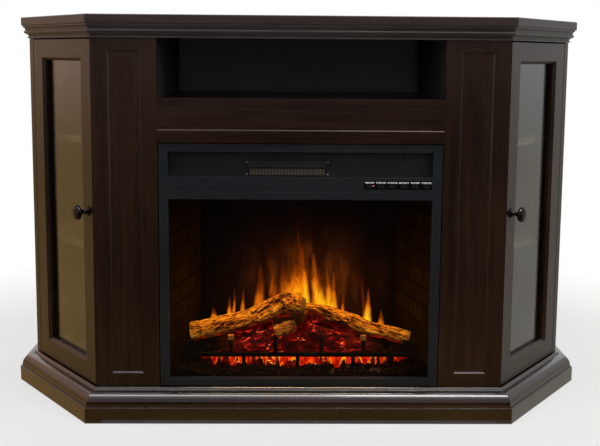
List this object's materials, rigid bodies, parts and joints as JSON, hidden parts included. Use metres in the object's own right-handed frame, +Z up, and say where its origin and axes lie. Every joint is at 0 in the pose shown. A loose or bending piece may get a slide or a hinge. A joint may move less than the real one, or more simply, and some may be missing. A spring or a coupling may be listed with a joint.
{
  "type": "corner electric fireplace cabinet",
  "caption": "Media cabinet with an electric fire in the middle, an open bay above it and glazed cupboards on chamfered front corners.",
  "frame": {"origin": "middle of the footprint on the floor", "axes": "+X to the right as seen from the front, +Y to the back, +Z up"},
  "size_m": [1.266, 0.403, 0.819],
  "materials": {
    "espresso_wood": "espresso stain under satin lacquer",
    "espresso_interior": "espresso melamine, matt",
    "hardboard": "dark printed hardboard, matt",
    "door_glass": "clear float glass",
    "knob_bronze": "dark oil-rubbed bronze, glossy",
    "hinge_nickel": "nickel plate",
    "case_steel": "black powder coat",
    "bezel_steel": "satin blue-black powder coat",
    "panel_plastic": "black gloss",
    "fire_glass": "clear tempered glass",
    "brick_print": "embossed dark brick pattern, matt",
    "screen_acrylic": "smoked acrylic that the flame image falls on",
    "coal_resin": "moulded translucent resin, lit red from below",
    "log_resin": "moulded bark, amber",
    "grate_iron": "matt black",
    "bright_metal": "bright rolled sheet",
    "motor_steel": "zinc plate"
  },
  "bodies": {
    "cabinet": {"top_panel": "espresso_wood", "crown_front": "espresso_wood", "crown_left": "espresso_wood", "crown_right": "espresso_wood", "pilaster_left": "espresso_wood", "pilaster_right": "espresso_wood", "side_panel_left": "espresso_wood", "side_panel_right": "espresso_wood", "media_shelf": "espresso_wood", "fascia_rail": "espresso_wood", "ledge_rail": "espresso_wood", "base_front": "espresso_wood", "base_left": "espresso_wood", "base_right": "espresso_wood", "partition_left": "espresso_interior", "partition_right": "espresso_interior", "bottom_panel": "espresso_interior", "base_rear_rail": "espresso_interior", "shelf_lower_left": "espresso_interior", "shelf_lower_right": "espresso_interior", "shelf_upper_left": "espresso_interior", "shelf_upper_right": "espresso_interior", "back_panel": "hardboard", "hinge_arm_lower_left": "hinge_nickel", "hinge_arm_lower_right": "hinge_nickel", "hinge_arm_upper_left": "hinge_nickel", "hinge_arm_upper_right": "hinge_nickel", "insert_casing": "case_steel", "outlet_grille": "case_steel", "insert_bezel": "bezel_steel", "control_panel": "panel_plastic", "cord_gland": "panel_plastic", "viewing_glass": "fire_glass", "firebox_liner": "brick_print", "flame_screen": "screen_acrylic", "ember_bed": "coal_resin", "log_left": "log_resin", "log_right": "log_resin", "grate": "grate_iron", "heater_element": "bright_metal", "rotor_motor": "motor_steel", "blower_motor": "motor_steel"},
    "door_left": {"door_frame_left": "espresso_wood", "door_glass_left": "door_glass", "door_knob_left": "knob_bronze", "hinge_cup_lower_left": "hinge_nickel", "hinge_cup_upper_left": "hinge_nickel"},
    "door_right": {"door_frame_right": "espresso_wood", "door_glass_right": "door_glass", "door_knob_right": "knob_bronze", "hinge_cup_lower_right": "hinge_nickel", "hinge_cup_upper_right": "hinge_nickel"},
    "key_1": {"key_1": "panel_plastic"},
    "key_2": {"key_2": "panel_plastic"},
    "key_3": {"key_3": "panel_plastic"},
    "key_4": {"key_4": "panel_plastic"},
    "key_5": {"key_5": "panel_plastic"},
    "key_6": {"key_6": "panel_plastic"},
    "flame_rotor": {"flame_rotor": "bright_metal"},
    "blower_wheel": {"blower_wheel": "bright_metal"}
  },
  "joints": [
    {"name": "door_left_hinge", "type": "hinge", "parent": "cabinet", "child": "door_left", "pos_m": [-0.58371, 0.03557, 0.42], "axis": [0, 0, -1], "range_deg": [0, 100]},
    {"name": "door_right_hinge", "type": "hinge", "parent": "cabinet", "child": "door_right", "pos_m": [0.58371, 0.03557, 0.42], "axis": [0, 0, 1], "range_deg": [0, 100]},
    {"name": "key_1_press", "type": "slide", "parent": "cabinet", "child": "key_1", "axis": [0, 1, 0], "range_m": [0, 0.0012], "stiffness_N_per_m": 400, "springref_m": -0.0005},
    {"name": "key_2_press", "type": "slide", "parent": "cabinet", "child": "key_2", "axis": [0, 1, 0], "range_m": [0, 0.0012], "stiffness_N_per_m": 400, "springref_m": -0.0005},
    {"name": "key_3_press", "type": "slide", "parent": "cabinet", "child": "key_3", "axis": [0, 1, 0], "range_m": [0, 0.0012], "stiffness_N_per_m": 400, "springref_m": -0.0005},
    {"name": "key_4_press", "type": "slide", "parent": "cabinet", "child": "key_4", "axis": [0, 1, 0], "range_m": [0, 0.0012], "stiffness_N_per_m": 400, "springref_m": -0.0005},
    {"name": "key_5_press", "type": "slide", "parent": "cabinet", "child": "key_5", "axis": [0, 1, 0], "range_m": [0, 0.0012], "stiffness_N_per_m": 400, "springref_m": -0.0005},
    {"name": "key_6_press", "type": "slide", "parent": "cabinet", "child": "key_6", "axis": [0, 1, 0], "range_m": [0, 0.0012], "stiffness_N_per_m": 400, "springref_m": -0.0005},
    {"name": "flame_rotor_spin", "type": "hinge", "parent": "cabinet", "child": "flame_rotor", "pos_m": [0, 0.0038, 0.1043], "axis": [1, 0, 0], "continuous": true},
    {"name": "blower_spin", "type": "hinge", "parent": "cabinet", "child": "blower_wheel", "pos_m": [-0.027, -0.0752, 0.5119], "axis": [1, 0, 0], "continuous": true}
  ]
}
